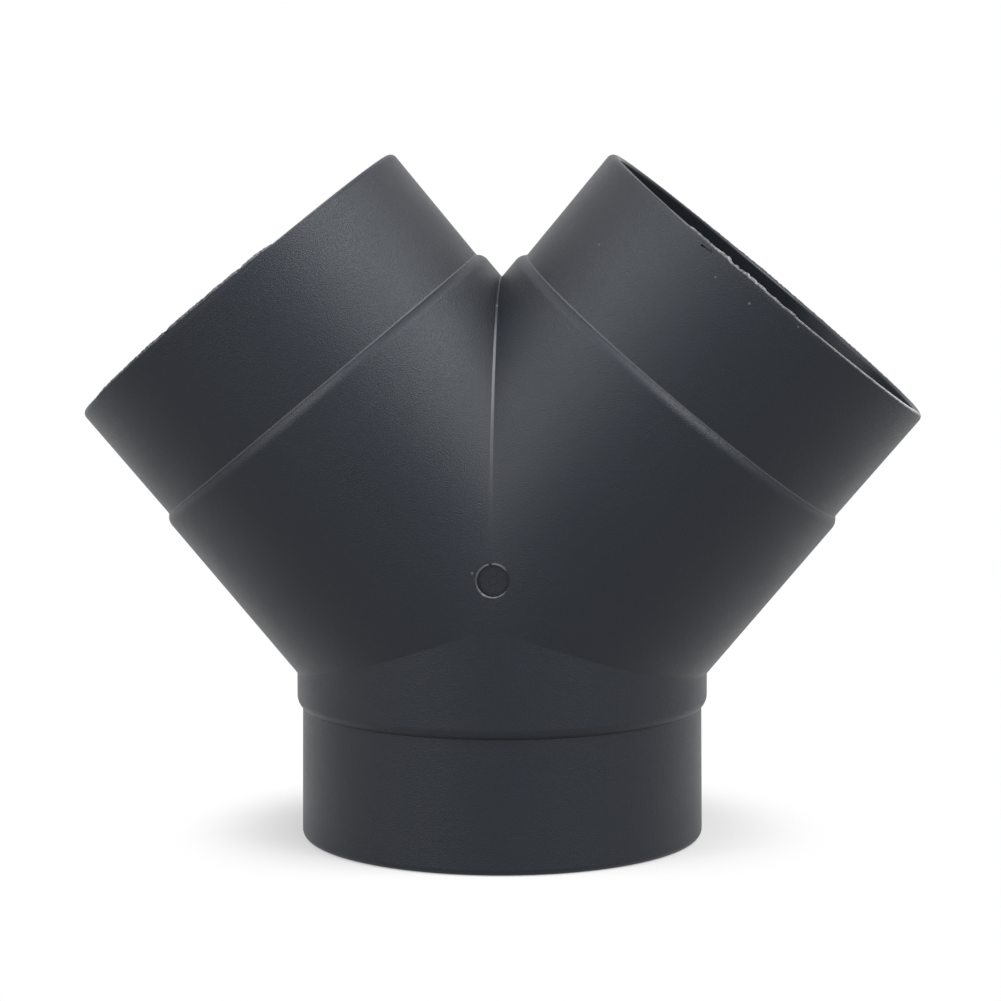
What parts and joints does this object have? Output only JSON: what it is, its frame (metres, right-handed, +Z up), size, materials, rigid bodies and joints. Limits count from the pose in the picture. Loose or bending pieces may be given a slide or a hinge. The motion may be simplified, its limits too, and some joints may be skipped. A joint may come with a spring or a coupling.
{
  "type": "duct wye",
  "caption": "One-piece moulded Y connector that splits a round air duct into two angled branches, with a hose spigot behind a shoulder at each end.",
  "frame": {"origin": "centre of the lower spigot's rim, which the part stands on", "axes": "+Z up the lower spigot's axis, +X towards the right arm with both arms in the XZ plane, mould mark on the -Y side"},
  "size_m": [0.1546, 0.0766, 0.127],
  "materials": {
    "moulded_plastic": "matte, finely textured as moulded"
  },
  "bodies": {
    "root": {"wye_body": "moulded_plastic"}
  },
  "joints": []
}
